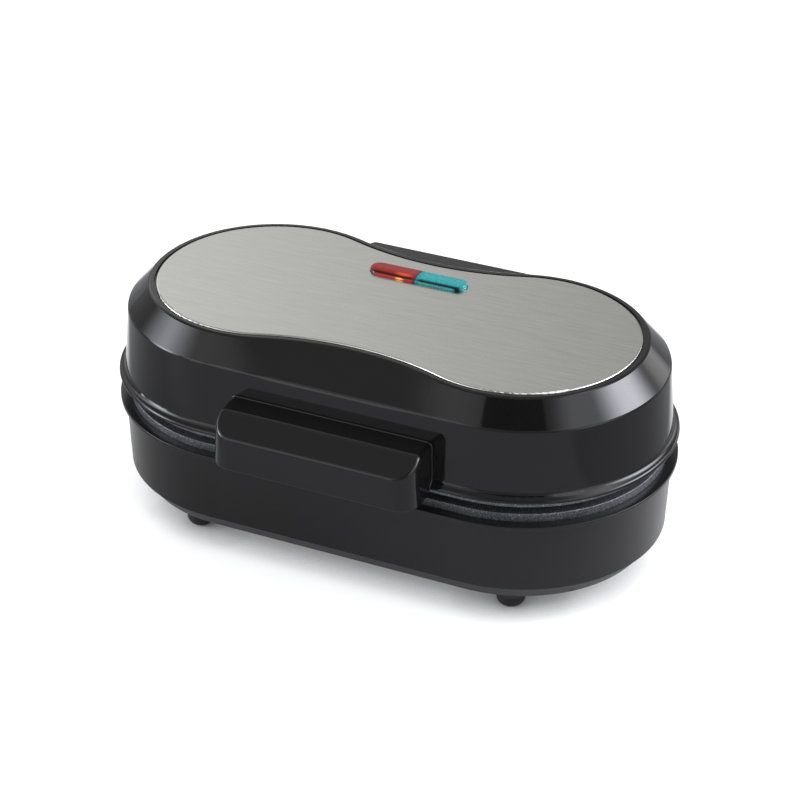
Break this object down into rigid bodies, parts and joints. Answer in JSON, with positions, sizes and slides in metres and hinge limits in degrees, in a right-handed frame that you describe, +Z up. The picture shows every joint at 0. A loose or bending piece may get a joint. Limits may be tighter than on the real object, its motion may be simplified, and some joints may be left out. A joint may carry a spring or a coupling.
{
  "type": "donut maker",
  "caption": "Oval electric donut maker: hinged glossy lid with a steel plate, pilot lights and a front handle, over a base with ring-shaped cooking moulds.",
  "frame": {"origin": "on the floor, midway across the width and midway between the front of the handle and the back of the hinge block", "axes": "+X to the right seen from the handle, +Y from the handle to the hinge, +Z up"},
  "size_m": [0.266, 0.18, 0.1121],
  "materials": {
    "lid_gloss": "high gloss black moulding",
    "handle_gloss": "gloss black moulding",
    "hinge_plastic": "satin black moulding",
    "base_plastic": "satin black moulding",
    "cover_plastic": "matt dark grey moulding",
    "rubber": "matt black rubber",
    "brushed_plate": "brushed along the length",
    "red_lens": "clear red moulding",
    "green_lens": "clear blue-green moulding",
    "white_plastic": "plain white moulding",
    "lamp_glass": "clear glass",
    "lower_nonstick": "speckled grey non-stick coat",
    "upper_nonstick": "speckled grey non-stick coat",
    "element_steel": "heat-stained steel tube",
    "reflector_metal": "plain rolled sheet",
    "screw_steel": "zinc plated",
    "pin_steel": "plain drawn steel",
    "ceramic": "unglazed white",
    "brass": "plain",
    "thermostat_body": "dark brown moulding",
    "fuse_body": "tinned",
    "gland_plastic": "matt black moulding",
    "wire_sleeve": "pale silicone sleeve"
  },
  "bodies": {
    "base": {"base_housing": "base_plastic", "rear_cover": "base_plastic", "rear_cover_screws": "screw_steel", "base_cover": "cover_plastic", "foot_front_left": "rubber", "foot_front_right": "rubber", "foot_rear_left": "rubber", "foot_rear_right": "rubber", "cover_screws": "screw_steel", "lower_plate": "lower_nonstick", "lower_element": "element_steel", "lower_terminals": "ceramic", "lower_reflector": "reflector_metal", "lower_plate_screws": "screw_steel", "thermostat": "thermostat_body", "thermostat_screws": "screw_steel", "thermal_fuse": "fuse_body", "fuse_clip": "screw_steel", "fuse_screw": "screw_steel", "terminal_block": "ceramic", "terminal_screws": "brass", "cord_gland": "gland_plastic", "base_leads": "wire_sleeve", "hinge_pin": "pin_steel", "pin_clip": "pin_steel"},
    "lid": {"lid_housing": "lid_gloss", "top_plate": "brushed_plate", "red_lens": "red_lens", "green_lens": "green_lens", "lamp_holder": "white_plastic", "red_lamp": "lamp_glass", "green_lamp": "lamp_glass", "lamp_holder_screws": "screw_steel", "handle": "handle_gloss", "handle_screws": "screw_steel", "hinge_block": "hinge_plastic", "hinge_block_screws": "screw_steel", "upper_plate": "upper_nonstick", "upper_element": "element_steel", "upper_terminals": "ceramic", "upper_reflector": "reflector_metal", "upper_plate_screws": "screw_steel", "lid_leads": "wire_sleeve"}
  },
  "joints": [
    {"name": "lid_hinge", "type": "hinge", "parent": "base", "child": "lid", "pos_m": [0, 0.08, 0.058], "axis": [-1, 0, 0], "range_deg": [0, 100]}
  ]
}
